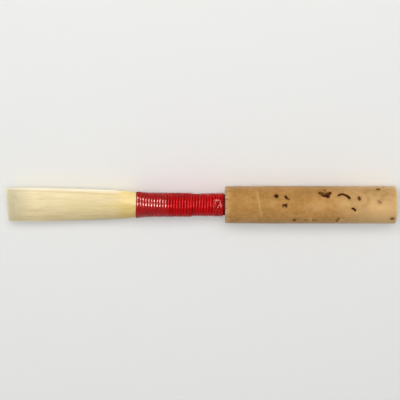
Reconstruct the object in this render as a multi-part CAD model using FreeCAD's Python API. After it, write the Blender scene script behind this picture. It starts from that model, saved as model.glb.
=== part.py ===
# Oboe reed, in millimetres: two cane blades bound with thread to a conical metal tube (the staple), whose lower
# half carries a cork sleeve. The reed lies along X with its tip at -X and its cork end at +X, the blades' flat
# way level, and the cork touching Z = 0. The origin is under the middle of the reed.
import FreeCAD, Part
import math
import os

from FreeCAD import Base

Vector = Base.Vector

# Lengths along the reed; the staple is as long as the cork and the binding together
cork_length = 30.8
binding_length = 16.2
blade_length = 23.5
cane_bound_length = 9.8

# Staple: a rolled metal tube, round at its foot and pressed oval at its top
staple_foot_diameter = 5.2
staple_waist_diameter = 3.34
staple_top_width = 3.56
staple_top_height = 2.18
staple_oval_length = 9.0
staple_wall = 0.35

# Cork sleeve, glued round the foot of the staple
cork_diameter = 6.86
cork_neck_diameter = 6.7
cork_taper_length = 7.0
cork_neck_round = 0.2
cork_foot_round = 0.3
glue_line = 0.02

# Cane blades: free from the tip to the thread, then bound down on the staple
tip_width = 7.12
throat_width = 5.1
tip_opening = 0.66
tip_thickness = 0.09
throat_thickness = 0.6
tip_edge = 0.14
throat_edge = 0.8
tail_back = 0.25
tail_side = 0.19
cane_clearance = 0.01
channel_reach = 0.3

# Thread: a flat first layer, the open turns over it, and the hitches that lock the end
under_layer = 0.06
thread_diameter = 0.22
thread_clearance = 0.02
thread_gap = 0.43
thread_start = 0.14
layer_step = 0.8
cork_gap = 0.05
knot_arc = 44.0
knot_length = 0.84
knot_height = 0.36
knot_round = 0.1
knot_clearance = 0.01

# One overrun for every cut, and the steps used when the thread is measured
overrun = 1.0
points_per_arc = 5
slope_angle = 1.0

# Free blade, from tip to throat: place along it, width, arch of the inside, thickness, edge
blade_shares = (
    (0.0, 1.0, 0.0, 0.0, 0.0),
    (0.065, 1.0, 0.07, 0.18, 0.09),
    (0.21, 0.98, 0.22, 0.46, 0.21),
    (0.34, 0.92, 0.38, 0.62, 0.29),
    (0.51, 0.79, 0.53, 0.74, 0.36),
    (0.68, 0.64, 0.7, 0.82, 0.42),
    (0.83, 0.46, 0.84, 0.9, 0.5),
    (0.915, 0.28, 0.92, 0.94, 0.64),
    (1.0, 0.0, 1.0, 1.0, 1.0),
)
# Bound cane, from throat to tail: place along it, thickness at the back, thickness at the side
bound_shares = (
    (0.0, 1.0, 1.0),
    (0.15, 0.98, 0.45),
    (0.36, 0.87, 0.16),
    (0.66, 0.57, 0.0),
    (1.0, 0.0, 0.0),
)

# Places along X
reed_length = blade_length + binding_length + cork_length
foot_x = reed_length / 2
neck_x = foot_x - cork_length
top_x = neck_x - binding_length
tip_x = top_x - blade_length
tail_x = top_x + cane_bound_length
waist_x = top_x + staple_oval_length
layer_end_x = neck_x - cork_gap
winding_length = layer_end_x - knot_length / 2 - top_x - thread_start
quarter_turns = math.floor(4 * winding_length / (thread_diameter + thread_gap))
thread_pitch = 4 * winding_length / quarter_turns


def between(low, high, share):
    return low + (high - low) * share


def rows_at(rows, x):
    # Values at x, in straight lines between the rows; the end rows are carried on past the ends
    last = len(rows) - 2
    i = 0
    while i < last and x > rows[i + 1][0]:
        i += 1
    near = rows[i]
    far = rows[i + 1]
    share = (x - near[0]) / (far[0] - near[0])
    return [between(a, b, share) for a, b in zip(near[1:], far[1:])]


def staple_rows(grow=0.0):
    # Place, half width and half height of the staple's outside, grown all round
    return [
        (top_x, staple_top_width / 2 + grow, staple_top_height / 2 + grow),
        (waist_x, staple_waist_diameter / 2 + grow, staple_waist_diameter / 2 + grow),
        (foot_x, staple_foot_diameter / 2 + grow, staple_foot_diameter / 2 + grow),
    ]


def free_rows():
    # Place, half width and half height of the two blades' outside, from tip to throat
    throat_arch = staple_top_height / 2 + cane_clearance
    rows = []
    for place, width, arch, thickness, edge in blade_shares:
        half_width = between(throat_width / 2, tip_width / 2, width)
        half_height = between(tip_opening / 2, throat_arch, arch)
        half_height += between(tip_thickness, throat_thickness, thickness)
        rows.append((between(tip_x, top_x, place), half_width, half_height))
    return rows


def bound_rows(grow=0.0):
    # The same from throat to tail, where the thread draws the cane down on the staple, grown all round
    throat_side = (throat_width - staple_top_width) / 2 - cane_clearance
    rows = []
    for place, back, side in bound_shares:
        x = between(top_x, tail_x, place)
        half_width, half_height = rows_at(staple_rows(cane_clearance), x)
        half_width += between(tail_side, throat_side, side)
        half_height += between(tail_back, throat_thickness, back)
        rows.append((x, half_width + grow, half_height + grow))
    return rows


def channel_rows():
    # Place, half width and half height of the hollow between the free blades
    rows = []
    for place, width, arch, thickness, edge in blade_shares:
        half_width = between(throat_width / 2, tip_width / 2, width) - between(tip_edge, throat_edge, edge)
        half_height = between(tip_opening / 2, staple_top_height / 2 - cane_clearance, arch)
        rows.append((between(tip_x, top_x, place), half_width, half_height))
    mouth = (tip_x - overrun, rows[0][1], rows[0][2])
    seat = (top_x + channel_reach, rows[-1][1], rows[-1][2])
    return [mouth] + rows + [seat]


def layer_rows():
    # Place, half width and half height of the first layer of thread: over the cane, then down to the staple
    grow = cane_clearance + under_layer
    rows = bound_rows(grow)
    tail = rows[-1]
    rows[-1] = (tail[0] + grow, tail[1], tail[2])
    for x in (tail_x + layer_step, layer_end_x):
        half_width, half_height = rows_at(staple_rows(grow), x)
        rows.append((x, half_width, half_height))
    return rows


def oval(x, half_width, half_height):
    # A unit circle stretched to the oval, so that every oval starts at the same place
    circle = Part.Circle(Vector(0, 0, 0), Vector(1, 0, 0), 1)
    stretch = Base.Matrix()
    stretch.scale(1, half_width, half_height)
    wire = Part.Wire([circle.toShape()]).transformGeometry(stretch)
    wire.translate(Vector(x, 0, 0))
    return Part.Wire(wire.Edges)


def arch_edges(x, half_width, half_height):
    # The round of one blade: two arcs of one circle, from one edge over the back to the other
    radius = (half_width**2 + half_height**2) / (2 * half_height)
    centre = half_height - radius
    low = math.atan2(-centre, half_width)
    middle = (low + math.pi / 2) / 2
    y = radius * math.cos(middle)
    z = centre + radius * math.sin(middle)
    left = Vector(x, -half_width, 0)
    right = Vector(x, half_width, 0)
    crown = Vector(x, 0, half_height)
    return [
        Part.Arc(left, Vector(x, -y, z), crown).toShape(),
        Part.Arc(crown, Vector(x, y, z), right).toShape(),
    ]


def lens_section(x, half_width, half_height):
    # The round of both blades, closed below by the same two arcs turned over
    over = arch_edges(x, half_width, half_height)
    under = [edge.mirror(Vector(0, 0, 0), Vector(0, 0, 1)) for edge in over]
    return Part.Wire(over + under[::-1])


def polyline(points):
    return [Part.LineSegment(a, b).toShape() for a, b in zip(points, points[1:])]


def blade_section(x, half_width, half_height):
    floor = polyline([Vector(x, half_width, 0), Vector(x, -half_width, 0)])
    return Part.Wire(arch_edges(x, half_width, half_height) + floor)


def channel_section(x, half_width, half_height):
    # The hollow runs on below the blades' meeting plane, so that the cut leaves no skin there
    corners = [
        Vector(x, half_width, 0),
        Vector(x, half_width, -overrun),
        Vector(x, -half_width, -overrun),
        Vector(x, -half_width, 0),
    ]
    return Part.Wire(arch_edges(x, half_width, half_height) + polyline(corners))


def loft(section, rows, ruled=False):
    return Part.makeLoft([section(*row) for row in rows], True, ruled)


def staple_envelope(grow):
    return loft(oval, staple_rows(grow), True)


def staple_tube():
    return staple_envelope(0.0).cut(staple_envelope(-staple_wall))


def cork_sleeve():
    radius = cork_diameter / 2
    neck = cork_neck_diameter / 2
    corner = math.sqrt(0.5)
    neck_points = [Vector(neck_x, 0, 0), Vector(neck_x, neck - cork_neck_round, 0)]
    side_points = [
        Vector(neck_x + cork_neck_round, neck, 0),
        Vector(neck_x + cork_taper_length, radius, 0),
        Vector(foot_x - cork_foot_round, radius, 0),
    ]
    foot_points = [Vector(foot_x, radius - cork_foot_round, 0), Vector(foot_x, 0, 0), neck_points[0]]
    neck_centre = Vector(neck_x + cork_neck_round, neck - cork_neck_round, 0)
    foot_centre = Vector(foot_x - cork_foot_round, radius - cork_foot_round, 0)
    neck_middle = neck_centre + Vector(-corner, corner, 0) * cork_neck_round
    foot_middle = foot_centre + Vector(corner, corner, 0) * cork_foot_round
    outline = polyline(neck_points)
    outline += [Part.Arc(neck_points[-1], neck_middle, side_points[0]).toShape()]
    outline += polyline(side_points)
    outline += [Part.Arc(side_points[-1], foot_middle, foot_points[0]).toShape()]
    outline += polyline(foot_points)
    turned = Part.Face(Part.Wire(outline)).revolve(Vector(0, 0, 0), Vector(1, 0, 0), 360)
    return turned.cut(staple_envelope(glue_line))


def cane_blade():
    # Smooth where it is free, straight from row to row where it is bound
    free = loft(blade_section, free_rows())
    bound = loft(blade_section, bound_rows(), True)
    hollow = loft(channel_section, channel_rows())
    return free.fuse(bound).cut(hollow).cut(staple_envelope(cane_clearance))


def bound_envelope(grow):
    # The bound cane of both blades, grown, and carried on past its two ends
    rows = bound_rows(grow)
    mouth = rows_at(rows, top_x - overrun)
    tail = rows[-1]
    rows = [(top_x - overrun, *mouth)] + rows + [(tail_x + grow, tail[1], tail[2])]
    return loft(lens_section, rows, True)


def layer_envelope(grow):
    rows = [(x, half_width + grow, half_height + grow) for x, half_width, half_height in layer_rows()]
    return loft(lens_section, rows, True)


def thread_first_layer():
    sleeve = layer_envelope(0.0)
    return sleeve.cut(bound_envelope(cane_clearance)).cut(staple_envelope(cane_clearance))


def shoulder(half_width, half_height):
    # How far the round of a lens stands out, halfway up, from the oval through its edge and its crown
    radius = (half_width**2 + half_height**2) / (2 * half_height)
    centre = half_height - radius
    lens_reach = centre * math.sqrt(0.5) + math.sqrt(radius**2 - centre**2 / 2)
    oval_reach = math.sqrt(2) / math.hypot(1 / half_width, 1 / half_height)
    return max(0.0, lens_reach - oval_reach)


def thread_lift(half_width, half_height):
    return shoulder(half_width, half_height) + thread_clearance + thread_diameter / 2


def thread_point(angle):
    # Centre of the thread at an angle in radians from its start, on the first layer's oval; it ends at the crown
    x = top_x + thread_start + thread_pitch * angle / (2 * math.pi)
    half_width, half_height = rows_at(layer_rows(), x)
    lift = thread_lift(half_width, half_height)
    turned = (quarter_turns + 1) * math.pi / 2 - angle
    return Vector(x, (half_width + lift) * math.cos(turned), (half_height + lift) * math.sin(turned))


def thread_direction(angle):
    step = math.radians(slope_angle)
    return (thread_point(angle + step) - thread_point(angle - step)).normalize()


def arc_between(start, corner, end):
    # The arc that leaves start towards corner and reaches end from corner, both runs being equal
    half = (start + end) * 0.5
    cosine = (start - half).Length / (start - corner).Length
    middle = half + (corner - half) * (cosine / (1 + cosine))
    return Part.Arc(start, middle, end).toShape()


def biarc(start, start_way, end, end_way):
    chord = end - start
    ways = start_way + end_way
    spread = 2 * (1 - start_way.dot(end_way))
    along = chord.dot(ways)
    run = (math.sqrt(along**2 + spread * chord.dot(chord)) - along) / spread
    first = start + start_way * run
    second = end - end_way * run
    joint = (first + second) * 0.5
    return [arc_between(start, first, joint), arc_between(joint, second, end)]


def thread_path():
    angles = [math.pi / 2 * i for i in range(quarter_turns + 1)]
    points = [thread_point(angle) for angle in angles]
    ways = [thread_direction(angle) for angle in angles]
    ways[-1] = Vector(0, 1, 0)
    arcs = []
    for i in range(quarter_turns):
        arcs += biarc(points[i], ways[i], points[i + 1], ways[i + 1])
    lead_in = polyline([points[0] - ways[0] * thread_diameter, points[0]])
    lead_out = polyline([points[-1], points[-1] + ways[-1] * thread_diameter])
    return lead_in, arcs, lead_out


def least_gap(arcs):
    # Least distance between points of the path that are over half a turn apart, less the thread itself
    points = []
    for arc in arcs:
        points += arc.discretize(points_per_arc)[:-1]
    half_turn = 4 * (points_per_arc - 1)
    least = min(
        (points[i] - points[j]).Length
        for i in range(len(points))
        for j in range(i + half_turn, min(i + 3 * half_turn, len(points)))
    )
    return least - thread_diameter


def thread_winding():
    lead_in, arcs, lead_out = thread_path()
    path = Part.Wire(lead_in + arcs + lead_out)
    start = lead_in[0].valueAt(lead_in[0].FirstParameter)
    way = lead_in[0].tangentAt(lead_in[0].FirstParameter)
    round_section = Part.Wire([Part.Circle(start, way, thread_diameter / 2).toShape()])
    tube = path.makePipeShell([round_section], True, False)
    section = math.pi * thread_diameter**2 / 4
    print("thread: %.2f turns, pitch %.3f" % (quarter_turns / 4, thread_pitch))
    print("thread: least radius %.3f" % min(arc.Curve.Radius for arc in arcs))
    print("thread: least gap to itself %.3f" % least_gap(arcs))
    print("thread: volume over section times length %.4f" % (tube.Volume / (section * path.Length)))
    return tube


def thread_knot():
    # A rounded pad of hitches beside the cork, from the crown round to one side, cut square where the thread runs in
    start_x = layer_end_x - knot_length
    floor_radius = rows_at(layer_rows(), start_x)[0]
    roof = floor_radius + knot_height
    corners = [
        Vector(start_x, 0, floor_radius / 2),
        Vector(layer_end_x, 0, floor_radius / 2),
        Vector(layer_end_x, 0, roof),
        Vector(start_x, 0, roof),
    ]
    face = Part.Face(Part.Wire(polyline(corners + corners[:1])))
    pad = face.revolve(Vector(0, 0, 0), Vector(1, 0, 0), -knot_arc)
    lead_out = thread_path()[2][0]
    cheek = lead_out.valueAt(lead_out.LastParameter).y + knot_clearance
    pad = pad.cut(Part.makeBox(reed_length, cheek, roof, Vector(-reed_length / 2, 0, 0)))
    pad = pad.cut(layer_envelope(knot_clearance))
    top_edges = [edge for edge in pad.Edges if least_radius(edge) > roof - knot_round]
    return pad.makeFillet(knot_round, top_edges)


def least_radius(edge):
    return min(math.hypot(v.Point.y, v.Point.z) for v in edge.Vertexes)


def write(name, shape):
    # Every piece is made about the reed's axis, and lifted here until the cork rests on Z = 0
    placed = shape.copy()
    placed.translate(Vector(0, 0, cork_diameter / 2))
    solids = placed.Solids
    whole = solids[0] if len(solids) == 1 else Part.makeCompound(solids)
    box = whole.BoundBox
    size = (box.XLength, box.YLength, box.ZLength)
    print("%s: %d solid, valid %s, %.2f x %.2f x %.2f, volume %.3f"
          % (name, len(solids), whole.isValid(), *size, whole.Volume))
    whole.exportStep("parts/" + name + ".step")


os.makedirs("parts", exist_ok=True)
upper = cane_blade()
write("staple_tube", staple_tube())
write("cork_sleeve", cork_sleeve())
write("cane_blade_upper", upper)
write("cane_blade_lower", upper.mirror(Vector(0, 0, 0), Vector(0, 0, 1)))
write("thread_first_layer", thread_first_layer())
write("thread_winding", thread_winding())
write("thread_knot", thread_knot())
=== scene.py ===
import math
import random

import bmesh
import bpy
from mathutils import Matrix, Vector, geometry, noise


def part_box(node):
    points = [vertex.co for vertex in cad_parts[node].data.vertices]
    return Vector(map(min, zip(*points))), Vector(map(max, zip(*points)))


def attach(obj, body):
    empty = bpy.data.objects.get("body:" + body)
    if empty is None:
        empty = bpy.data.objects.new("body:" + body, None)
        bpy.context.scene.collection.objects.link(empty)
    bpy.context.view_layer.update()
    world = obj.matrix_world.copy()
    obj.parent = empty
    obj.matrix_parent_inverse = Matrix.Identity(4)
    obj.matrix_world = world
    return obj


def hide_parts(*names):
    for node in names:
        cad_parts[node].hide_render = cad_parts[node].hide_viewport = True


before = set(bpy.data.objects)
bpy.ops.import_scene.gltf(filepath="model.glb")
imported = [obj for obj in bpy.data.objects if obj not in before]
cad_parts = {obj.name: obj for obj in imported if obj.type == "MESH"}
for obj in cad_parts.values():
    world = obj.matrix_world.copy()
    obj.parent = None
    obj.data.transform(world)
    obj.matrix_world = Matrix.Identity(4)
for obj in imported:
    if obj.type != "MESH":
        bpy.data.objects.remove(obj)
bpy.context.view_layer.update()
print("frame loaded:", len(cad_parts), "pieces in the packed model")

mm = 0.001  # a size in a table is in metres where it is multiplied by this, and in mm elsewhere
along = Vector((1, 0, 0))
corkLow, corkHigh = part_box("cork_sleeve")
place = {
    "tip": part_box("cane_blade_upper")[0].x,
    "throat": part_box("staple_tube")[0].x,
    "neck": corkLow.x,
    "foot": corkHigh.x,
    "axis": (corkLow.z + corkHigh.z) / 2,
    "corkRadius": (corkHigh.z - corkLow.z) / 2,
}

# Where the photograph was taken from: the reed is rolled a little, so the camera stands to the +Y side
photo = {
    "pixels": 400,
    "distance": 270 * mm,
    "halfView": math.radians(7.66),
    "roll": math.radians(30),
    "aimAlong": -0.21 * mm,
    "aimUp": 0.87 * mm,
    "clip": (10 * mm, 5),
}
cameraBack = Vector((0, math.sin(photo["roll"]), math.cos(photo["roll"])))
cameraUp = Vector((0, math.cos(photo["roll"]), -math.sin(photo["roll"])))
cameraAim = Vector((photo["aimAlong"], 0, place["axis"])) + cameraUp * photo["aimUp"]
cameraPlace = cameraAim + cameraBack * photo["distance"]


def addCamera():
    data = bpy.data.cameras.new("camera")
    data.lens = data.sensor_width / 2 / math.tan(photo["halfView"])
    data.clip_start, data.clip_end = photo["clip"]
    camera = bpy.data.objects.new("camera", data)
    bpy.context.scene.collection.objects.link(camera)
    turn = Matrix((along, cameraUp, cameraBack)).transposed()
    camera.matrix_world = turn.to_4x4()
    camera.location = cameraPlace
    bpy.context.scene.camera = camera


def onRound(px, py, radius):
    # the point of a round piece about the reed's axis that the photograph shows at a pixel
    half = math.tan(photo["halfView"])
    right = (px / photo["pixels"] * 2 - 1) * half
    up = (1 - py / photo["pixels"] * 2) * half
    ray = (along * right + cameraUp * up - cameraBack).normalized()
    start = cameraPlace - Vector((0, 0, place["axis"]))
    a = ray.y**2 + ray.z**2
    b = start.y * ray.y + start.z * ray.z
    c = start.y**2 + start.z**2 - radius**2
    reach = (-b - math.sqrt(max(b * b - a * c, 0))) / a
    return cameraPlace + ray * reach


def outOf(spot):
    # the way straight out of the reed at a point
    return Vector((0, spot.y, spot.z - place["axis"])).normalized()


# Modelling helpers

def startEdit(obj):
    bpy.ops.object.select_all(action="DESELECT")
    obj.select_set(True)
    bpy.context.view_layer.objects.active = obj
    bpy.ops.object.mode_set(mode="EDIT")
    bpy.ops.mesh.select_mode(type="VERT")


def stopEdit():
    bpy.ops.object.mode_set(mode="OBJECT")


def pickVerts(obj, wanted):
    mesh = bmesh.from_edit_mesh(obj.data)
    for vert in mesh.verts:
        vert.select = wanted(vert.co)
    mesh.select_flush_mode()
    bmesh.update_edit_mesh(obj.data)


def applyAll(obj):
    bpy.context.view_layer.objects.active = obj
    for modifier in list(obj.modifiers):
        bpy.ops.object.modifier_apply(modifier=modifier.name)


def addCurve(name, kind, places, radius):
    # a round tube along a line of places, as a curve
    curve = bpy.data.curves.new(name, "CURVE")
    curve.dimensions = "3D"
    curve.bevel_depth = radius
    line = curve.splines.new(kind)
    line.points.add(len(places) - 1)
    for point, spot in zip(line.points, places):
        point.co = (*spot, 1)
    obj = bpy.data.objects.new(name, curve)
    bpy.context.scene.collection.objects.link(obj)
    return obj


def makeMesh(obj):
    # the mesh of a curve, in its stead
    bpy.ops.object.select_all(action="DESELECT")
    obj.select_set(True)
    bpy.context.view_layer.objects.active = obj
    bpy.ops.object.convert(target="MESH")
    return bpy.context.object


def joinPieces(pieces):
    bpy.ops.object.select_all(action="DESELECT")
    for piece in pieces:
        piece.select_set(True)
    bpy.context.view_layer.objects.active = pieces[0]
    if len(pieces) > 1:
        bpy.ops.object.join()
    return pieces[0]


def finishPiece(obj, name, node):
    obj.name = obj.data.name = name
    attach(obj, "root")
    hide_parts(node)
    print("made", name, "with", len(obj.data.polygons), "faces")


def keepShares(obj, name, shares):
    # keeps a share from 0 to 1 at every point, for the material to read
    obj.data.attributes.new(name, "FLOAT", "POINT").data.foreach_set("value", shares)


def paint(obj, name, shareAt):
    # works such a share out from each point's place
    keepShares(obj, name, [min(max(shareAt(vert.co), 0), 1) for vert in obj.data.vertices])


def between(low, high, share):
    return low + (high - low) * share


def smoothRow(rows, x):
    # the values at x, on a smooth line through the rows
    last = len(rows) - 2
    i = max([k for k in range(last + 1) if rows[k][0] <= x], default=0)
    near, far = rows[i], rows[i + 1]
    before, after = rows[max(i - 1, 0)], rows[min(i + 2, last + 1)]
    gap = far[0] - near[0]
    t = min(max((x - near[0]) / gap, 0), 1)
    values = []
    for k in range(1, len(near)):
        slopeIn = (far[k] - before[k]) / (far[0] - before[0]) * gap
        slopeOut = (after[k] - near[k]) / (after[0] - near[0]) * gap
        values.append(near[k] * (2 * t**3 - 3 * t**2 + 1) + slopeIn * (t**3 - 2 * t**2 + t)
                      + far[k] * (3 * t**2 - 2 * t**3) + slopeOut * (t**3 - t**2))
    return values


# Finishes

def colour(red, green, blue):
    # a colour as it is seen, from 0 to 255, made linear for the shader
    return (*(((part / 255 + 0.055) / 1.055)**2.4 for part in (red, green, blue)), 1)


def newFinish(name, settings):
    # a material, and its shader with some inputs set
    material = bpy.data.materials.new(name)
    material.use_nodes = True
    shader = material.node_tree.nodes["Principled BSDF"]
    for socket, value in settings.items():
        shader.inputs[socket].default_value = value
    return material, material.node_tree, shader


def addNode(tree, kind, inputs, **settings):
    # a shader node with its settings, each input given a value or joined to another node's output
    node = tree.nodes.new("ShaderNode" + kind)
    for name, value in settings.items():
        setattr(node, name, value)
    for name, value in inputs.items():
        if isinstance(value, bpy.types.NodeSocket):
            tree.links.new(value, node.inputs[name])
        else:
            node.inputs[name].default_value = value
    return node


def ownPlace(tree):
    return tree.nodes.new("ShaderNodeTexCoord").outputs["Object"]


def cloud(tree, stretch, detail, roughness):
    # a cloud pattern on the piece's own place; stretch is how many clouds fill a millimetre each way
    scale = tuple(part / mm for part in stretch)
    turned = addNode(tree, "Mapping", {"Vector": ownPlace(tree), "Scale": scale})
    settings = {"Vector": turned.outputs[0], "Scale": 1, "Detail": detail, "Roughness": roughness}
    return addNode(tree, "TexNoise", settings).outputs[0]


def addClouds(tree, look):
    return [cloud(tree, *row) for row in look["clouds"].values()]


def remap(tree, value, low, high, newLow=0, newHigh=1):
    limits = {"Value": value, "From Min": low, "From Max": high, "To Min": newLow, "To Max": newHigh}
    return addNode(tree, "MapRange", limits).outputs[0]


def alongReed(tree, fromMm, toMm):
    # 0 to 1 along the reed, from the tip
    x = addNode(tree, "SeparateXYZ", {0: ownPlace(tree)}).outputs[0]
    return remap(tree, x, place["tip"] + fromMm * mm, place["tip"] + toMm * mm)


def depthUnder(tree, fromMm, toMm):
    # 0 to 1 by the depth under the round outside of the cork
    centring = {"Vector": ownPlace(tree), "Location": (0, 0, -place["axis"]), "Scale": (0, 1, 1)}
    centred = addNode(tree, "Mapping", centring).outputs[0]
    radius = addNode(tree, "VectorMath", {0: centred}, operation="LENGTH").outputs["Value"]
    return remap(tree, radius, place["corkRadius"] - fromMm * mm, place["corkRadius"] - toMm * mm)


def painted(tree, name):
    return addNode(tree, "Attribute", {}, attribute_name=name).outputs["Fac"]


def blend(tree, share, first, second):
    return addNode(tree, "Mix", {0: share, 6: first, 7: second}, data_type="RGBA").outputs[2]


def layOver(tree, look, seen, patterns):
    # lays colours of a look over what is seen, each as its pattern goes from one value to another
    for name, pattern in patterns.items():
        seen = blend(tree, remap(tree, pattern, *look["shows"][name]), seen, look["colours"][name])
    return seen


def sums(tree, way, first, second):
    return addNode(tree, "Math", {0: first, 1: second}, operation=way, use_clamp=True).outputs[0]


def emboss(tree, shader, height, distance, strength):
    bump = addNode(tree, "Bump", {"Height": height, "Distance": distance * mm, "Strength": strength})
    tree.links.new(bump.outputs[0], shader.inputs["Normal"])


# In every look: clouds in a millimetre each way, their detail and roughness; relief in mm and its strength;
# and for a colour the values of its pattern between which it comes up, with how much shows at each

caneLook = {
    "shader": {"Specular IOR Level": 0.07},
    "clouds": {
        "fibres": ((0.16, 7, 7), 4, 0.65),
        "fineFibres": ((0.4, 19, 19), 3, 0.55),
        "blotches": ((0.12, 0.45, 0.45), 2, 0.55),
    },
    "colours": {
        "tip": colour(205, 194, 156),
        "blade": colour(240, 223, 176),
        "middle": colour(226, 207, 154),
        "throat": colour(224, 200, 138),
        "blotch": colour(214, 190, 146),
        "fibre": colour(196, 166, 118),
        "fineFibre": colour(245, 234, 200),
        "bark": colour(229, 204, 134),
        "barkBlotch": colour(219, 191, 117),
        "barkFibre": colour(198, 162, 90),
        "streakAndShade": colour(176, 140, 92),
        # the thin edge's own paler colour, with a painted highlight along the sides
        "edge": colour(236, 229, 206),
    },
    "shows": {
        "blotch": (0.42, 0.7, 0, 0.5),
        "fibre": (0.5, 0.72, 0, 0.4),
        "fineFibre": (0.3, 0.5, 0.4, 0),
        "barkBlotch": (0.4, 0.62),
        "barkFibre": (0.48, 0.66, 0, 0.45),
    },
    "fades": {"blade": (1.2, 5), "middle": (6, 14), "throat": (15, 21)},  # mm from the tip
    "roughness": (0.48, 0.36),  # where the cane is scraped, and on the bark
    "fineRelief": 0.3,
    "relief": (0.05, 0.55),
}


def makeCaneFinish():
    look, tint = caneLook, caneLook["colours"]
    material, tree, shader = newFinish("caneFinish", look["shader"])
    fibres, fineFibres, blotches = addClouds(tree, look)
    scraped = tint["tip"]
    for name, limits in look["fades"].items():
        scraped = blend(tree, alongReed(tree, *limits), scraped, tint[name])
    scraped = layOver(tree, look, scraped, {"blotch": blotches, "fibre": fibres, "fineFibre": fineFibres})
    bark = layOver(tree, look, tint["bark"], {"barkBlotch": blotches, "barkFibre": fibres})
    onBark = painted(tree, "bark")
    seen = blend(tree, onBark, scraped, bark)
    # the streaks carry painted shade along the lower side and inside the edge; the pale edge carries a
    # painted highlight
    for name in ("streakAndShade", "edge"):
        seen = blend(tree, painted(tree, name), seen, tint[name])
    tree.links.new(seen, shader.inputs["Base Color"])
    tree.links.new(remap(tree, onBark, 0, 1, *look["roughness"]), shader.inputs["Roughness"])
    fine = remap(tree, fineFibres, 0, 1, 0, look["fineRelief"])
    emboss(tree, shader, sums(tree, "ADD", fibres, fine), *look["relief"])
    return material


threadLook = {
    "clouds": {
        "filaments": ((22, 5, 5), 3, 0.6),
        "patches": ((0.8, 0.8, 0.8), 2, 0.55),
    },
    "deepPatches": (0.35, 0.65),
    "deepFilaments": (0.35, 0.6, 0.5, 0),
    "relief": (0.02, 0.4),
}


def makeThreadFinish(name, lit, deep, glow, roughness, gloss):
    settings = {"Roughness": roughness, "Specular IOR Level": gloss, "Specular Tint": glow}
    material, tree, shader = newFinish(name, settings)
    filaments, patches = addClouds(tree, threadLook)
    seen = blend(tree, remap(tree, patches, *threadLook["deepPatches"]), lit, deep)
    seen = blend(tree, remap(tree, filaments, *threadLook["deepFilaments"]), seen, deep)
    tree.links.new(seen, shader.inputs["Base Color"])
    emboss(tree, shader, filaments, *threadLook["relief"])
    return material


corkLook = {
    "shader": {"Roughness": 0.78, "Specular IOR Level": 0.03, "Sheen Weight": 0.3, "Sheen Roughness": 0.4},
    "clouds": {
        "wide": ((0.22, 0.3, 0.3), 2, 0.55),
        "middle": ((1.2, 1.6, 1.6), 4, 0.6),
        "fine": ((5.5, 7, 7), 3, 0.6),
    },
    "colours": {
        "dark": colour(164, 120, 60),
        "pale": colour(182, 134, 76),
        "lump": colour(192, 150, 88),
        "hollow": colour(148, 102, 46),
        "foot": colour(226, 190, 136),
        "paler": colour(222, 182, 122),
        "darker": colour(152, 112, 54),
        "speck": colour(112, 68, 30),
        "wornNeck": colour(216, 170, 122),
        # a pale line on the foot's rounded rim: painted highlight
        "footRimHighlight": colour(222, 200, 150),
        "crease": colour(222, 182, 128),
        "stain": colour(120, 70, 28),
    },
    "shows": {
        "pale": (0.36, 0.66),
        "lump": (0.46, 0.7, 0, 0.42),
        "hollow": (0.34, 0.5, 0.32, 0),
        "paler": (0.5, 1),
        "darker": (0.5, 0),
        "speck": (0.26, 0.38, 0.5, 0),
        "wornNeck": (0.35, 0.6, 0.3, 0.8),
        "footRimHighlight": (0.35, 0.6, 0.4, 0.8),
        "stain": (0.3, 0.6, 0.45, 1),
    },
    "fades": {"foot": (58, 67), "wornNeck": (40.6, 39.6), "footRimHighlight": (70.1, 70.4)},  # mm from the tip
    "footShare": 0.55,
    "lumpRelief": (0.3, 0.7, 0, 0.6),
    "speckRelief": (0.25, 0.6, 0, 0.4),
    "relief": (0.08, 0.5),
}


def makeCorkFinish():
    look, tint, shows, fades = corkLook, corkLook["colours"], corkLook["shows"], corkLook["fades"]
    material, tree, shader = newFinish("corkFinish", look["shader"])
    wide, middle, fine = addClouds(tree, look)
    seen = layOver(tree, look, tint["dark"], {"pale": wide, "lump": middle, "hollow": middle})
    footPale = blend(tree, look["footShare"], seen, tint["foot"])
    seen = blend(tree, alongReed(tree, *fades["foot"]), seen, footPale)
    tone = painted(tree, "tone")
    seen = layOver(tree, look, seen, {"paler": tone, "darker": tone, "speck": fine})
    # the neck's worn edge, and the painted highlight on the foot's rounded rim
    for name in ("wornNeck", "footRimHighlight"):
        wearAndRimHighlight = sums(tree, "MULTIPLY", alongReed(tree, *fades[name]), remap(tree, middle, *shows[name]))
        seen = blend(tree, wearAndRimHighlight, seen, tint[name])
    seen = blend(tree, painted(tree, "crease"), seen, tint["crease"])
    stain = sums(tree, "MULTIPLY", painted(tree, "stain"), remap(tree, middle, *shows["stain"]))
    seen = blend(tree, stain, seen, tint["stain"])
    tree.links.new(seen, shader.inputs["Base Color"])
    lumps = remap(tree, middle, *look["lumpRelief"])
    specks = remap(tree, fine, *look["speckRelief"])
    emboss(tree, shader, sums(tree, "ADD", lumps, specks), *look["relief"])
    return material


pitLook = {
    "shader": {"Roughness": 0.85, "Specular IOR Level": 0.02},
    "clouds": {"crumbs": ((4, 4, 4), 4, 0.7)},
    "crumbs": (0.42, 0.62),
    "rim": 0.05,
    "relief": (0.1, 1),
}


def makePitFinish(name, depth, rim, deep, crumb):
    material, tree, shader = newFinish(name, pitLook["shader"])
    crumbs = addClouds(tree, pitLook)[0]
    seen = blend(tree, remap(tree, crumbs, *pitLook["crumbs"]), deep, crumb)
    # the pits darken with depth: partly their own dark fill, partly painted shade in the hollow
    seen = blend(tree, depthUnder(tree, pitLook["rim"], depth), rim, seen)
    tree.links.new(seen, shader.inputs["Base Color"])
    emboss(tree, shader, crumbs, *pitLook["relief"])
    return material


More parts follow.
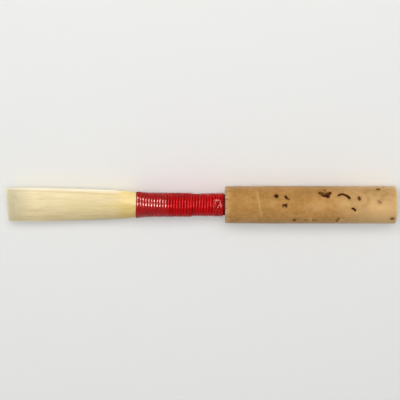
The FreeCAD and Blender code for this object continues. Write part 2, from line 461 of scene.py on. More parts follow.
metalLook = {
    "shader": {"Metallic": 1, "Specular IOR Level": 0.5},
    "clouds": {
        "drawn": ((9, 0.5, 0.5), 4, 0.6),
        "dull": ((0.5, 0.7, 0.7), 3, 0.55),
    },
    "colours": {"bright": colour(196, 188, 168), "dull": colour(158, 142, 108)},
    "shows": {"dull": (0.35, 0.65)},
    "roughness": (0.3, 0.7, 0.22, 0.42),  # by the dull pattern
    "relief": (0.02, 0.4),
}


def makeMetalFinish():
    look = metalLook
    material, tree, shader = newFinish("metalFinish", look["shader"])
    drawn, dull = addClouds(tree, look)
    seen = layOver(tree, look, look["colours"]["bright"], {"dull": dull})
    tree.links.new(seen, shader.inputs["Base Color"])
    tree.links.new(remap(tree, dull, *look["roughness"]), shader.inputs["Roughness"])
    emboss(tree, shader, drawn, *look["relief"])
    return material


caneFinish = makeCaneFinish()
threadFinish = makeThreadFinish(
    "threadFinish",
    lit=colour(198, 4, 10),
    deep=colour(160, 2, 7),
    glow=colour(255, 110, 110),
    roughness=0.28,
    gloss=0.26,
)
varnishedFinish = makeThreadFinish(
    "varnishedFinish",
    lit=colour(170, 4, 9),
    deep=colour(140, 2, 6),
    glow=colour(255, 205, 195),
    roughness=0.2,
    gloss=0.28,
)
# a darker copy of the thread's red: painted shade for the first layer between the turns
shadedUnderThreadFinish = makeThreadFinish(
    "shadedUnderThreadFinish",
    lit=colour(90, 4, 8),
    deep=colour(56, 0, 4),
    glow=colour(255, 110, 110),
    roughness=0.5,
    gloss=0.1,
)
corkFinish = makeCorkFinish()
pitFinish = makePitFinish(
    "pitFinish",
    depth=0.34,
    rim=colour(112, 66, 26),
    deep=colour(44, 14, 2),
    crumb=colour(84, 42, 16),
)
shallowPitFinish = makePitFinish(
    "shallowPitFinish",
    depth=0.2,
    rim=colour(130, 88, 36),
    deep=colour(60, 32, 4),
    crumb=colour(100, 62, 18),
)
metalFinish = makeMetalFinish()
print("finishes ready")

# Cork sleeve

cork = {
    "around": 168,
    "step": 0.26 * mm,
    "taper": 7.0 * mm,
    "neckRadius": 3.35 * mm,
    "neckBore": 1.86 * mm,
    "footBore": 2.61 * mm,
    "boreShares": (0.04, 0.25, 0.5, 0.75, 0.96),
    "neckRound": 0.12 * mm,
    "neckAhead": 0.12 * mm,
    "footRound": 0.16 * mm,
    "roundSteps": 4,
    "swell": 0.03 * mm,
    "swellSize": 2.4,
    "grain": 0.018 * mm,
    "grainSize": 0.32,
    "smoothAngle": math.radians(38),
    "crack": (  # photograph pixel across and down, share of the full width
        (337.8, 196.0, 0.75),
        (340.2, 194.6, 0.9),
        (342.8, 194.3, 0.9),
        (346.1, 195.6, 1),
        (348.9, 197.3, 1.1),
        (349.9, 199.1, 1),
    ),
    "crackRadius": 0.25 * mm,
    "crackSunk": 0.08 * mm,
    "weld": 0.001 * mm,
    "shallow": 0.2,  # mm, up to which a pit has the paler finish
    "pitLumps": 1.7,
}
corkPits = (  # photograph pixel across and down, length, width, depth in mm, turn in degrees, raggedness
    (276.3, 195.9, 0.86, 0.82, 0.45, 0, 0.3),
    (286.1, 197.3, 0.86, 0.5, 0.42, -56, 0.35),
    (288.2, 199.1, 0.66, 0.3, 0.19, -8, 0.35),
    (286.0, 206.0, 0.62, 0.4, 0.38, -52, 0.35),
    (284.0, 205.2, 0.62, 0.46, 0.22, 10, 0.4),
    (286.7, 204.3, 0.42, 0.26, 0.2, 50, 0.3),
    (282.9, 206.8, 0.4, 0.24, 0.12, 50, 0.3),
    (319.6, 192.7, 0.45, 0.36, 0.28, -10, 0.3),
    (320.8, 193.0, 1.05, 0.85, 0.16, -10, 0.3),
    (322.6, 194.6, 0.9, 0.7, 0.19, -30, 0.3),
    (324.5, 195.5, 1.05, 0.62, 0.38, -8, 0.3),
    (325.0, 193.4, 0.8, 0.7, 0.07, 0, 0.3),
    (327.6, 195.6, 1.0, 0.95, 0.42, 0, 0.4),
    (328.2, 193.6, 0.7, 0.6, 0.24, 0, 0.4),
    (330.0, 193.0, 0.62, 0.62, 0.42, 0, 0.3),
    (324.8, 190.3, 0.6, 0.5, 0.1, 0, 0.4),
    (359.2, 198.6, 0.6, 0.95, 0.19, 15, 0.35),
    (353.4, 208.8, 0.72, 0.4, 0.38, -22, 0.3),
    (355.0, 210.2, 0.55, 0.42, 0.36, -65, 0.3),
    (378.3, 189.1, 0.86, 0.55, 0.2, -6, 0.3),
    (383.3, 187.2, 0.34, 0.45, 0.05, 0, 0.3),
    (379.7, 201.9, 1.3, 0.22, 0.06, -35, 0.4),
    (294.4, 220.4, 0.62, 0.75, 0.2, 0, 0.3),
    (305.6, 220.3, 0.46, 0.46, 0.05, 0, 0.3),
    (312.8, 220.2, 0.16, 0.75, 0.06, 0, 0.2),
    (315.3, 220.3, 0.32, 0.4, 0.04, 0, 0.3),
    (336.9, 221.0, 0.42, 0.8, 0.1, 0, 0.3),
    (338.3, 219.0, 0.74, 0.5, 0.1, 32, 0.3),
    (343.3, 218.2, 0.3, 0.3, 0.04, 0, 0.3),
    (392.4, 218.9, 0.85, 0.7, 0.07, 35, 0.4),
    (226.4, 199.2, 0.85, 0.15, 0.14, 0, 0.2),
    (226.0, 208.6, 0.7, 0.15, 0.12, 0, 0.2),
    (225.8, 192.4, 0.5, 0.14, 0.1, 0, 0.2),
    (229.5, 217.4, 0.5, 0.3, 0.06, 0, 0.3),
)
hiddenSide = {  # pits on the side that faces away from the camera, sizes in mm
    "count": 44,
    "seed": 11,
    "cameraAngle": 60,  # degrees round from +Y
    "angles": (85, 275),  # degrees round from the camera
    "fromEnds": 1.5 * mm,
    "lengths": (0.35, 0.45, 0.6, 0.8, 1.2),
    "widthShares": (0.35, 0.8),
    "depths": (0.1, 0.35),
    "turns": (-60, 60),
    "raggedness": (0.3, 0.5),
}
corkMarks = {
    "crease": ((256.9, 191.5), (258.4, 199.0), (259.8, 207.5), (261.6, 216.0)),  # photograph pixels
    "creaseWidth": 0.17 * mm,
    "creaseStrength": 0.42,
    "creaseNear": 2 * mm,
    "crackStain": 0.3 * mm,
    "crackNear": 2 * mm,
    "pitStain": 0.32,
    "pitNear": 1.5 * mm,
    "stainStrength": 0.6,
    "tones": (  # photograph pixel across and down, reach along and round in mm, paler or (below 0) darker
        (301, 194, 2.6, 1.3, -0.3),
        (262, 194, 0.9, 0.9, -0.16),
        (270, 203, 1.3, 0.8, 0.12),
        (318, 206, 2.6, 0.9, 0.14),
        (345, 203, 1.4, 1.0, 0.14),
        (377, 208, 1.6, 0.8, 0.12),
        (385, 194, 2.2, 1.7, -0.26),
        (369, 190, 2.4, 0.9, -0.22),
        (391, 209, 0.6, 0.5, 0.16),
        (324.4, 198.4, 0.3, 0.14, 0.3),
        (331.8, 196.8, 0.16, 0.3, 0.26),
        (356.4, 212.4, 0.3, 0.2, 0.24),
        (311.3, 219.8, 0.1, 0.5, 0.5),
        (341.0, 220.3, 0.4, 0.6, 0.24),
        (380.5, 206.5, 1.0, 0.8, 0.16),
    ),
    "ring": (360.2, 199.2),
    "ringRadius": 1.45,
    "ringWidth": 0.35,
    "ringStrength": -0.2,
    "ringOpens": 0.3,
    "toneLumps": 1.3,
    "toneUneven": 0.8,
}


def onCork(px, py):
    return onRound(px, py, place["corkRadius"])


def revolveFrom(firstRadius, stations, x, points):
    # a ring at x, drawn along the reed through places and radii
    bpy.ops.mesh.primitive_circle_add(vertices=points, radius=firstRadius, rotation=(0, math.pi / 2, 0),
                                      location=(x, 0, place["axis"]))
    bpy.ops.object.transform_apply(location=True, rotation=True, scale=True)
    ring = bpy.context.object
    startEdit(ring)
    bpy.ops.mesh.select_all(action="SELECT")
    radius = firstRadius
    for nextX, nextRadius in stations:
        bpy.ops.mesh.extrude_region_move(TRANSFORM_OT_translate={"value": (nextX - x, 0, 0)})
        scale = nextRadius / radius
        bpy.ops.transform.resize(value=(1, scale, scale), center_override=(nextX, 0, place["axis"]))
        x, radius = nextX, nextRadius
    return ring


def roundedEdge(x, radius, size, fromAngle):
    # a quarter round about x and radius, as places and radii
    angles = [fromAngle - math.pi / 2 * (i + 1) / cork["roundSteps"] for i in range(cork["roundSteps"])]
    return [(x + size * math.cos(angle), radius + size * math.sin(angle)) for angle in angles]


def corkStations():
    neck, foot, radius = place["neck"] - cork["neckAhead"], place["foot"], place["corkRadius"]
    neckRadius, neckRound, footRound = cork["neckRadius"], cork["neckRound"], cork["footRound"]
    stations = [(neck, (cork["neckBore"] + neckRadius) / 2), (neck, neckRadius - neckRound)]
    stations += roundedEdge(neck + neckRound, neckRadius - neckRound, neckRound, math.pi)
    first = stations[-1][0]
    count = round((foot - footRound - first) / cork["step"])
    for i in range(1, count + 1):
        x = first + (foot - footRound - first) * i / count
        stations.append((x, between(neckRadius, radius, min((x - neck) / cork["taper"], 1))))
    stations += roundedEdge(foot - footRound, radius - footRound, footRound, math.pi / 2)
    stations += [(foot, (cork["footBore"] + radius) / 2), (foot, cork["footBore"])]
    for share in cork["boreShares"]:
        stations.append((between(foot, neck, share), between(cork["footBore"], cork["neckBore"], share)))
    return stations


def photoPits():
    # place, direction out of the cork and sizes of every pit that the photograph shows
    for px, py, *sizes in corkPits:
        spot = onCork(px, py)
        yield spot, outOf(spot), *sizes


def hiddenPits():
    # the same for pits of those kinds, scattered all round the side that faces away
    draw = random.Random(hiddenSide["seed"])
    for i in range(hiddenSide["count"]):
        angle = math.radians(hiddenSide["cameraAngle"] + draw.uniform(*hiddenSide["angles"]))
        outward = Vector((0, math.cos(angle), math.sin(angle)))
        x = draw.uniform(place["neck"] + hiddenSide["fromEnds"], place["foot"] - hiddenSide["fromEnds"])
        spot = Vector((x, 0, place["axis"])) + outward * place["corkRadius"]
        length = draw.choice(hiddenSide["lengths"])
        width = length * draw.uniform(*hiddenSide["widthShares"])
        depth = draw.uniform(*hiddenSide["depths"])
        turn = draw.uniform(*hiddenSide["turns"])
        yield spot, outward, length, width, depth, turn, draw.uniform(*hiddenSide["raggedness"])


def addPit(spot, outward, length, width, depth, turn, ragged):
    bpy.ops.mesh.primitive_ico_sphere_add(subdivisions=3, radius=1 * mm)
    blob = bpy.context.object
    across = outward.cross(along)
    spin = math.radians(turn)
    first = along * math.cos(spin) + across * math.sin(spin)
    second = outward.cross(first)
    for vert in blob.data.vertices:
        swell = 1 + ragged * noise.noise(vert.co / mm * cork["pitLumps"] + spot / mm)
        move = first * length / 2 * vert.co.x + second * width / 2 * vert.co.y + outward * depth * vert.co.z
        vert.co = spot + move * swell
    blob.data.materials.append(pitFinish if depth > cork["shallow"] else shallowPitFinish)
    return blob


def addCrack():
    # a curved split in the cork, through the pixels where the photograph shows it
    radius = place["corkRadius"] - cork["crackSunk"]
    places = [onRound(px, py, radius) for px, py, share in cork["crack"]]
    crack = addCurve("crack", "NURBS", places, cork["crackRadius"])
    crack.data.use_fill_caps = True
    line = crack.data.splines[0]
    for point, (px, py, share) in zip(line.points, cork["crack"]):
        point.radius = share
    line.order_u = 3
    line.use_endpoint_u = True
    crack = makeMesh(crack)
    startEdit(crack)
    bpy.ops.mesh.select_all(action="SELECT")
    bpy.ops.mesh.remove_doubles(threshold=cork["weld"])
    bpy.ops.mesh.normals_make_consistent(inside=False)
    stopEdit()
    crack.data.materials.clear()
    crack.data.materials.append(pitFinish)
    return crack


def cutPits(sleeve, pits):
    # every pit is taken out of the cork in one cut, and keeps its own darker finish
    tool = joinPieces(pits)
    cut = sleeve.modifiers.new("pits", "BOOLEAN")
    cut.operation = "DIFFERENCE"
    cut.object = tool
    cut.solver = "EXACT"
    cut.use_self = True
    cut.material_mode = "TRANSFER"
    applyAll(sleeve)
    bpy.data.objects.remove(tool)
    bpy.ops.object.select_all(action="DESELECT")
    sleeve.select_set(True)


def roughen(obj, name, depth, size):
    # pushes the surface in and out by a cloud pattern with clouds of a size in mm
    texture = bpy.data.textures.new(name, "CLOUDS")
    texture.noise_scale = size
    ruler = bpy.data.objects.new(name, None)
    bpy.context.scene.collection.objects.link(ruler)
    ruler.scale = (mm, mm, mm)
    bpy.context.view_layer.update()
    push = obj.modifiers.new(name, "DISPLACE")
    push.texture = texture
    push.texture_coords = "OBJECT"
    push.texture_coords_object = ruler
    push.strength = depth
    push.mid_level = 1
    applyAll(obj)
    bpy.data.objects.remove(ruler)


def awayFrom(spot, line):
    # how far a point is from the nearest part of a line of points
    gaps = []
    for start, end in zip(line, line[1:]):
        nearest, share = geometry.intersect_point_line(spot, start, end)
        nearest = start + (end - start) * min(max(share, 0), 1)
        gaps.append((spot - nearest).length)
    return min(gaps)


def stainAt(spot, crack, pits):
    # darker cork round the split and round every pit
    share = 0
    if abs(spot.x - crack[2].x) < corkMarks["crackNear"]:
        share = math.exp(-(awayFrom(spot, crack) / corkMarks["crackStain"])**2)
    for centre, outward, length, width, *rest in pits:
        if abs(spot.x - centre.x) < corkMarks["pitNear"]:
            gap = (spot - centre).length / ((length + width) * corkMarks["pitStain"] * mm)
            share = max(share, math.exp(-gap**2))
    return share * corkMarks["stainStrength"]


def creaseAt(spot, crease):
    # the pale crease that runs round the cork near the neck
    if abs(spot.x - crease[1].x) > corkMarks["creaseNear"]:
        return 0
    return corkMarks["creaseStrength"] * math.exp(-(awayFrom(spot, crease) / corkMarks["creaseWidth"])**2)


def toneAt(spot, tones, ring):
    # half where the cork has its usual colour, more where it is paler and less where it is darker
    tone = 0.5
    for centre, reachAlong, reachRound, strength in tones:
        gapAlong = (spot.x - centre.x) / mm / reachAlong
        gapRound = math.hypot(spot.y - centre.y, spot.z - centre.z) / mm / reachRound
        tone += strength * math.exp(-gapAlong**2 - gapRound**2)
    away = (spot - ring) / mm
    ringRadius = corkMarks["ringRadius"]
    arc = min(max(away.x / ringRadius + corkMarks["ringOpens"], 0), 1)
    arc *= math.exp(-((away.length - ringRadius) / corkMarks["ringWidth"])**2)
    uneven = 1 + corkMarks["toneUneven"] * noise.noise(spot / mm * corkMarks["toneLumps"])
    return 0.5 + (tone - 0.5 + corkMarks["ringStrength"] * arc) * uneven


def paintCork(sleeve, pits):
    crack = [onCork(px, py) for px, py, share in cork["crack"]]
    crease = [onCork(*pixel) for pixel in corkMarks["crease"]]
    tones = [(onCork(px, py), *rest) for px, py, *rest in corkMarks["tones"]]
    ring = onCork(*corkMarks["ring"])
    paint(sleeve, "stain", lambda spot: stainAt(spot, crack, pits))
    paint(sleeve, "crease", lambda spot: creaseAt(spot, crease))
    paint(sleeve, "tone", lambda spot: toneAt(spot, tones, ring))


def makeCork():
    neck = place["neck"] - cork["neckAhead"]
    sleeve = revolveFrom(cork["neckBore"], corkStations(), neck, cork["around"])
    mesh = bmesh.from_edit_mesh(sleeve.data)
    mesh.select_mode = {"EDGE"}
    for edge in mesh.edges:
        edge.select_set(edge.is_boundary)
    bmesh.update_edit_mesh(sleeve.data)
    bpy.ops.mesh.bridge_edge_loops()
    bpy.ops.mesh.select_all(action="SELECT")
    bpy.ops.mesh.normals_make_consistent(inside=False)
    stopEdit()
    roughen(sleeve, "corkSwell", cork["swell"], cork["swellSize"])
    roughen(sleeve, "corkGrain", cork["grain"], cork["grainSize"])
    sleeve.data.materials.append(corkFinish)
    pits = [*photoPits(), *hiddenPits()]
    cutPits(sleeve, [addPit(*pit) for pit in pits] + [addCrack()])
    bpy.ops.object.shade_smooth_by_angle(angle=cork["smoothAngle"])
    paintCork(sleeve, pits)
    finishPiece(sleeve, "corkSleeve", "cork_sleeve")


makeCork()

# Cane blades

cane = {
    "rows": (  # mm from the tip: half width, height of the outside, thickness at the crown and at the edge
        (0.0, 3.57, 0.42, 0.09, 0.07),
        (1.53, 3.57, 0.566, 0.18, 0.1),
        (4.94, 3.545, 0.824, 0.325, 0.18),
        (7.99, 3.48, 1.029, 0.406, 0.25),
        (11.99, 3.35, 1.205, 0.467, 0.31),
        (15.98, 3.2, 1.377, 0.508, 0.38),
        (19.5, 3.015, 1.526, 0.549, 0.46),
        (21.5, 2.83, 1.607, 0.569, 0.52),
        (23.5, 2.55, 1.7, 0.6, 0.62),
        (24.97, 2.22, 1.78, 0.58, 0.44),
        (27.03, 2.03, 1.9, 0.51, 0.25),
        (29.97, 1.9, 1.97, 0.38, 0.19),
        (33.3, 1.89, 1.95, 0.25, 0.19),
    ),
    "circlePoints": 288,
    "openAngle": math.radians(60),
    "step": 0.42,
    "seam": 0.006 * mm,
    "hair": 0.0001,  # mm, how near to a cut a point lies on it
    "smoothAngle": math.radians(40),
    "bark": {  # mm from the tip where the scrape ends, how it fades, and the ragged line between
        "starts": 19.7,
        "fades": 1.8,
        "ragged": 0.9,
        "raggedAlong": 0.5,
        "raggedAcross": 5,
        "sides": 0.05,
        "rise": 0.03,
        "smoother": 0.6,
    },
    "fibres": ((1, 0.22, 7), (0.5, 0.5, 16)),  # strength, and how fine along and across
    "fibreHeight": 0.011,
    "fibreSunk": 0.026,
    "rimWidth": 0.27,
    "tipLength": 0.16,
    "palest": 0.85,
    # a painted shade line just inside the pale edge: its place, width, strength and start
    "rimShadeLine": 0.52,
    "rimShadeLineWidth": 0.12,
    "rimShadeLineStrength": 0.3,
    "rimShadeLineStarts": 2,
    "streaksAndShade": (  # mm from the tip and across, reach along and across in mm, strength
        (4.3, -2.15, 1.3, 0.13, 0.42),
        (6.6, -2.3, 1.5, 0.1, 0.36),
        (5.0, -0.8, 2.4, 0.2, 0.22),
        (11.5, -1.2, 3.0, 0.16, 0.2),
        (8.2, 1.7, 3.6, 0.12, 0.2),
        (16.0, -1.7, 2.2, 0.2, 0.3),
        (18.5, 0.6, 2.5, 0.14, 0.2),
        (1.6, 1.9, 0.5, 0.4, 0.2),
        # the next two are painted shade that darkens the lower side, not streaks
        (5.5, -2.9, 5.0, 0.12, 0.5),
        (6.5, -2.25, 4.5, 0.5, 0.34),
    ),
    "streakLean": 0.03,
}
thickestWall = max(row[3] for row in cane["rows"])


def bladeSheet():
    # the outside of one blade: an arc across the tip, drawn out along the reed row by row
    rows, axis = cane["rows"], place["axis"]
    cut = math.cos(cane["openAngle"])
    bpy.ops.mesh.primitive_circle_add(vertices=cane["circlePoints"], radius=1 * mm,
                                      rotation=(0, math.pi / 2, 0), location=(place["tip"], 0, axis))
    bpy.ops.object.transform_apply(location=True, rotation=True, scale=True)
    sheet = bpy.context.object
    startEdit(sheet)
    pickVerts(sheet, lambda co: co.z - axis < (cut - cane["hair"]) * mm)
    bpy.ops.mesh.delete(type="VERT")
    bpy.ops.mesh.select_all(action="SELECT")
    bpy.ops.transform.translate(value=(0, 0, -cut * mm))
    width, height = math.sin(cane["openAngle"]), 1 - cut
    tipWidth, tipHeight = rows[0][1:3]
    bpy.ops.transform.resize(value=(1, tipWidth / width, tipHeight / height),
                             center_override=(place["tip"], 0, axis))
    width, height = tipWidth, tipHeight
    length = rows[-1][0]
    count = round(length / cane["step"])
    for i in range(1, count + 1):
        at = length * i / count
        nextWidth, nextHeight, crown, edge = smoothRow(rows, at)
        bpy.ops.mesh.extrude_region_move(TRANSFORM_OT_translate={"value": (length / count * mm, 0, 0)})
        bpy.ops.transform.resize(value=(1, nextWidth / width, nextHeight / height),
                                 center_override=(place["tip"] + at * mm, 0, axis))
        width, height = nextWidth, nextHeight
    return sheet


def barkShare(at, across, seed):
    # 0 where the blade is scraped, 1 where the bark is left on, with a ragged line of fibres between
    bark = cane["bark"]
    spot = Vector((at * bark["raggedAlong"], across * bark["raggedAcross"] + seed, 3.1))
    ragged = noise.noise(spot) * bark["ragged"]
    share = (at - bark["starts"] + ragged + across**2 * bark["sides"]) / bark["fades"]
    return min(max(share, 0), 1)


def paleEdgeAndHighlightShare(at, inward):
    # pale where the scrape is thinnest, at the tip and along the sides: partly the thin cane's own colour,
    # partly a painted highlight where the edges catch the light
    tip = math.exp(-at / cane["tipLength"])
    rim = math.exp(-(inward / cane["rimWidth"])**2)
    return cane["palest"] * max(tip, rim)


def streakAndShadeShare(at, across, inward):
    # brownish streaks along the fibres, with painted shade: a faint dark line just inside the pale edge,
    # and darkening along the lower side
    line = math.exp(-((inward - cane["rimShadeLine"]) / cane["rimShadeLineWidth"])**2)
    share = cane["rimShadeLineStrength"] * line * min(at / cane["rimShadeLineStarts"], 1)
    for middle, aside, reachAlong, reachAcross, strength in cane["streaksAndShade"]:
        gapAcross = across - aside - cane["streakLean"] * (at - middle)
        gap = ((at - middle) / reachAlong)**2 + (gapAcross / reachAcross)**2
        share = max(share, strength * math.exp(-gap))
    return share


def fibreRise(at, across, up, seed):
    # how far the fibres stand out of the cane, in mm
    rise = 0
    for strength, perAlong, perAcross in cane["fibres"]:
        rise += strength * noise.noise(Vector((at * perAlong, across * perAcross + seed, up * perAcross)))
    return rise * cane["fibreHeight"]


def shapeBlade(sheet, side, seed):
    # at every point: the wall's thickness, what the finish shows, and how far bark and fibres stand out
    walls = sheet.vertex_groups.new(name="walls")
    bark, edges, streaksAndShade, moves = [], [], [], []
    for vert in sheet.data.vertices:
        at = (vert.co.x - place["tip"]) / mm
        across = vert.co.y / mm
        up = (vert.co.z - place["axis"]) / mm
        width, height, crown, edge = smoothRow(cane["rows"], at)
        sideways = min(abs(across) / width, 1)
        walls.add([vert.index], min(between(crown, edge, sideways**2) / thickestWall, 1), "REPLACE")
        share = barkShare(at, across, seed)
        inward = (1 - sideways) * width
        bark.append(share)
        edges.append(paleEdgeAndHighlightShare(at, inward) * (1 - share))
        streaksAndShade.append(streakAndShadeShare(at, side * across, inward) * (1 - share))
        inner = min(inward / cane["rimWidth"], 1)
        rise = cane["bark"]["rise"] * share - cane["fibreSunk"] * (1 - share) * inner
        rise += fibreRise(at, across, up, seed) * inner * (1 - cane["bark"]["smoother"] * share)
        moves.append(vert.normal * rise * mm)
    for vert, move in zip(sheet.data.vertices, moves):
        vert.co += move
    keepShares(sheet, "bark", bark)
    keepShares(sheet, "edge", edges)
    keepShares(sheet, "streakAndShade", streaksAndShade)


def thickenBlade(sheet, side):
    # gives the sheet its wall on the inside, and cuts it flat where the two blades meet
    wall = sheet.modifiers.new("wall", "SOLIDIFY")
    wall.thickness = thickestWall * mm
    wall.offset = -1
    wall.vertex_group = "walls"
    wall.thickness_vertex_group = 0
    applyAll(sheet)
    startEdit(sheet)
    bpy.ops.mesh.select_all(action="SELECT")
    bpy.ops.mesh.bisect(plane_co=(0, 0, place["axis"] + side * cane["seam"]), plane_no=(0, 0, side),
                        use_fill=True, clear_inner=True, clear_outer=False, threshold=cane["hair"] * mm)
    stopEdit()


def makeBlade(name, node, side, seed):
    sheet = bladeSheet()
    bpy.ops.mesh.select_all(action="SELECT")
    if side < 0:
        bpy.ops.transform.resize(value=(1, 1, -1), center_override=(0, 0, place["axis"]))
    bpy.ops.mesh.normals_make_consistent(inside=False)
    stopEdit()
    sheet.data.materials.append(caneFinish)
    crown = max(sheet.data.polygons, key=lambda face: side * face.center.z)
    if crown.normal.z * side < 0:
        sheet.data.flip_normals()
    shapeBlade(sheet, side, seed)
    thickenBlade(sheet, side)
    bpy.ops.object.shade_smooth_by_angle(angle=cane["smoothAngle"])
    finishPiece(sheet, name, node)


makeBlade("caneBladeUpper", "cane_blade_upper", side=1, seed=0)
makeBlade("caneBladeLower", "cane_blade_lower", side=-1, seed=40)

# Thread

thread = {
    "rows": (  # mm from the top of the staple: half width and half height of the bound cane or the staple
        (0.0, 2.55, 1.7),
        (1.47, 2.22, 1.78),
        (3.53, 2.03, 1.9),
        (6.47, 1.9, 1.97),
        (9.3, 1.89, 1.95),
        (9.8, 1.89, 1.94),
        (10.3, 1.8, 1.8),
        (10.7, 1.77, 1.77),
        (16.2, 1.88, 1.88),
    ),
    "top": 0.28,  # mm from the cane to the outside of the thread
    "pitch": 0.508,
    "start": 0.06,
    "startAngle": 200,
    "turns": 30.78,
    "pointsPerTurn": 84,
    "liftWobble": 0.02,
    "liftSwings": 1.95,
    "alongWobble": 0.03,
    "alongSwings": 1.45,
    "softEdge": 0.02,
    "radius": 0.25,
    "plies": 3,
    "plyRadius": 0.135,
    "plyOffset": 0.115,
    "twist": 1.35,
    "pressed": 0.85,
    "spread": 1.12,
    "varnishedLength": 5.75,
    "varnishFades": 0.3,
    "varnishedPressed": 0.5,
    "varnishedSpread": 1.2,
    "varnishedSmooth": 0.85,
    "bevelSteps": 8,
    "smoothAngle": math.radians(50),
}
knot = {
    "radius": 1.83,
    "steps": 10,
    "ends": (  # place in the row, photograph pixel across and down, lift in mm
        (
            (0, 213.9, 209.5, 0.06),
            (1, 215.2, 206.3, 0.3),
            (2, 215.0, 203.0, 0.42),
            (3, 216.6, 200.6, 0.44),
            (4, 219.0, 200.2, 0.44),
            (5, 220.9, 201.8, 0.44),
            (6, 220.3, 204.4, 0.44),
            (7, 218.2, 206.6, 0.42),
            (8, 216.6, 209.2, 0.3),
            (9, 216.2, 212.0, 0.06),
        ),
        (
            (0, 222.4, 200.5, 0.06),
            (1, 222.2, 203.6, 0.3),
            (2, 221.2, 206.4, 0.38),
            (3, 220.2, 208.6, 0.3),
            (4, 219.6, 211.4, 0.06),
        ),
    ),
}


def layPoint(at, angle, lift):
    # a point over the binding, by its place along the reed in mm and its angle round from +Y
    width, height = smoothRow(thread["rows"], at)
    width, height = width + lift, height + lift
    radius = (width**2 + height**2) / (2 * height)
    centre = height - radius
    rise = math.sqrt((math.sin(angle)**2 + thread["softEdge"]) / (1 + thread["softEdge"]))
    reach = centre * rise + math.sqrt(radius**2 - centre**2 * (1 - rise**2))
    return Vector((at, reach * math.cos(angle), reach * math.sin(angle)))


def varnishAt(x):
    # 1 where the first turns are varnished, 0 on the rest
    left = thread["varnishedLength"] - (x - place["throat"]) / mm
    return min(max(left / thread["varnishFades"] + 0.5, 0), 1)


def pressedAt(varnish):
    return between(thread["pressed"], thread["varnishedPressed"], varnish)


def plyReach(angle):
    # how far the twisted plies reach from the thread's middle at an angle round it
    part = 2 * math.pi / thread["plies"]
    away = (angle + part / 2) % part - part / 2
    offset, radius = thread["plyOffset"], thread["plyRadius"]
    return offset * math.cos(away) + math.sqrt(radius**2 - (offset * math.sin(away))**2)


def twistThread(tube, line):
    # shapes the round tube into twisted plies, pressed down on what it lies on
    around = len(tube.data.vertices) // len(line)
    run = 0
    for i, centre in enumerate(line):
        before, after = line[max(i - 1, 0)], line[min(i + 1, len(line) - 1)]
        run += (centre - before).length
        outward = outOf(centre)
        sideways = (after - before).cross(outward).normalized()
        twist = 2 * math.pi * run / (thread["twist"] * mm)
        varnish = varnishAt(centre.x)
        pressed = pressedAt(varnish)
        spread = between(thread["spread"], thread["varnishedSpread"], varnish)
        smooth = thread["varnishedSmooth"] * varnish
        for vert in tube.data.vertices[i * around:(i + 1) * around]:
            offset = vert.co - centre
            angle = math.atan2(offset.dot(outward), offset.dot(sideways))
            reach = between(plyReach(angle + twist), thread["radius"], smooth) * mm
            ways = sideways * math.cos(angle) * spread + outward * math.sin(angle) * pressed
            vert.co = centre + ways * reach


def addThread(name, node, lines):
    tubes = []
    for line in lines:
        tube = addCurve("thread", "POLY", line, thread["radius"] * mm)
        tube.data.bevel_resolution = thread["bevelSteps"]
        tube = makeMesh(tube)
        twistThread(tube, line)
        tubes.append(tube)
    piece = joinPieces(tubes)
    startEdit(piece)
    bpy.ops.mesh.select_all(action="SELECT")
    bpy.ops.mesh.fill_holes(sides=0)
    bpy.ops.mesh.normals_make_consistent(inside=False)
    stopEdit()
    bpy.ops.object.shade_smooth_by_angle(angle=thread["smoothAngle"])
    piece.data.materials.append(threadFinish)
    piece.data.materials.append(varnishedFinish)
    for face in piece.data.polygons:
        face.material_index = 1 if varnishAt(face.center.x) > 0.5 else 0
    finishPiece(piece, name, node)
    return piece


def windingLine():
    # turn beside turn from the throat to the cork, a little uneven
    line = []
    steps = round(thread["turns"] * thread["pointsPerTurn"])
    for i in range(steps + 1):
        turns = i / thread["pointsPerTurn"]
        at = thread["start"] + thread["pitch"] * turns
        angle = math.radians(thread["startAngle"] - 360 * turns)
        lift = thread["top"] - thread["radius"] * pressedAt(varnishAt(place["throat"] + at * mm))
        lift += thread["liftWobble"] * noise.noise(Vector((turns * thread["liftSwings"], 1, 5)))
        at += thread["alongWobble"] * noise.noise(Vector((turns * thread["alongSwings"], 7, 0)))
        point = layPoint(at, angle, lift)
        line.append(Vector((place["throat"] + point.x * mm, point.y * mm, place["axis"] + point.z * mm)))
    return line


def knotLine(rows):
    # the thread's end, hitched over the last turns on the side that the photograph shows
    line = []
    last = rows[-1][0]
    steps = last * knot["steps"]
    for i in range(steps + 1):
        px, py, lift = smoothRow(rows, last * i / steps)
        line.append(onRound(px, py, (knot["radius"] + lift) * mm))
    return line


addThread("threadWinding", "thread_winding", [windingLine()])
knotPiece = addThread("threadKnot", "thread_knot", [knotLine(rows) for rows in knot["ends"]])
knotPiece.data.materials[0] = varnishedFinish

# Staple and first layer of thread, which show only between the other pieces; the first layer's darker red
# is painted shade between the turns

for node, material in (("thread_first_layer", shadedUnderThreadFinish), ("staple_tube", metalFinish)):
    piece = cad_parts[node]
    piece.data.materials.clear()
    piece.data.materials.append(material)

# Studio

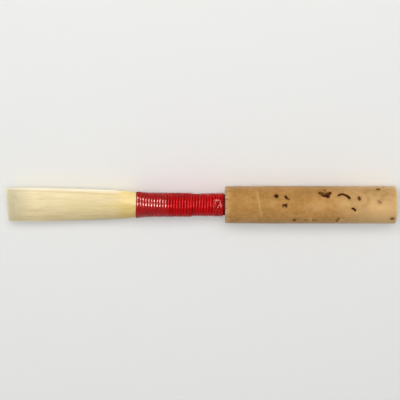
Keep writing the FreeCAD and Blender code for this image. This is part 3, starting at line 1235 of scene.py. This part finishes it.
studio = {
    "floorSize": 1.2,
    "floorFinish": {"Roughness": 0.8, "Specular IOR Level": 0, "Base Color": colour(238, 238, 236)},
    "floorDrop": 0.02 * mm,
    "backgroundColour": (0.93, 0.93, 0.92),
    "fillStrength": 0.44,
    "lamps": (  # name, degrees above and aside of the camera, width and height in m, watts, only for gloss
        ("keyLight", 5, -4, 0.3, 0.3, 2.8, False),
        ("upperGlint", 33, -3, 0.06, 0.18, 7, True),
        ("frontGlint", -11, 2, 0.06, 0.14, 11, True),
    ),
    "lampDistance": 0.6,
}


def addFloor():
    bpy.ops.object.select_all(action="DESELECT")
    bpy.ops.mesh.primitive_plane_add(size=studio["floorSize"], location=(0, 0, -studio["floorDrop"]))
    floor = bpy.context.object
    floor.name = "floor"
    material, tree, shader = newFinish("floorFinish", studio["floorFinish"])
    floor.data.materials.append(material)


def addWorld():
    world = bpy.data.worlds.new("studio")
    bpy.context.scene.world = world
    world.use_nodes = True
    nodes, links = world.node_tree.nodes, world.node_tree.links
    nodes.clear()
    seen = nodes.new("ShaderNodeLightPath")
    either = nodes.new("ShaderNodeMath")
    either.operation = "MAXIMUM"
    links.new(seen.outputs["Is Camera Ray"], either.inputs[0])
    links.new(seen.outputs["Is Glossy Ray"], either.inputs[1])
    fill = nodes.new("ShaderNodeBackground")
    fill.inputs["Strength"].default_value = studio["fillStrength"]
    shown = nodes.new("ShaderNodeBackground")
    shown.inputs["Color"].default_value = (*studio["backgroundColour"], 1)
    chosen = nodes.new("ShaderNodeMixShader")
    links.new(either.outputs[0], chosen.inputs[0])
    links.new(fill.outputs[0], chosen.inputs[1])
    links.new(shown.outputs[0], chosen.inputs[2])
    output = nodes.new("ShaderNodeOutputWorld")
    links.new(chosen.outputs[0], output.inputs["Surface"])


def addLamp(name, above, aside, width, height, watts, onlyGloss):
    data = bpy.data.lights.new(name, "AREA")
    data.shape = "RECTANGLE"
    data.size = width
    data.size_y = height
    data.energy = watts
    lamp = bpy.data.objects.new(name, data)
    bpy.context.scene.collection.objects.link(lamp)
    lamp.visible_diffuse = not onlyGloss
    above, aside = math.radians(above), math.radians(aside)
    toLamp = cameraBack * math.cos(above) + cameraUp * math.sin(above) + along * math.sin(aside)
    facing = toLamp.normalized()
    lamp.location = cameraAim + facing * studio["lampDistance"]
    lamp.rotation_euler = Matrix((along, facing.cross(along), facing)).transposed().to_euler()


addCamera()
addFloor()
addWorld()
for lamp in studio["lamps"]:
    addLamp(*lamp)
bpy.context.scene.view_settings.view_transform = "Standard"
print("studio lit")
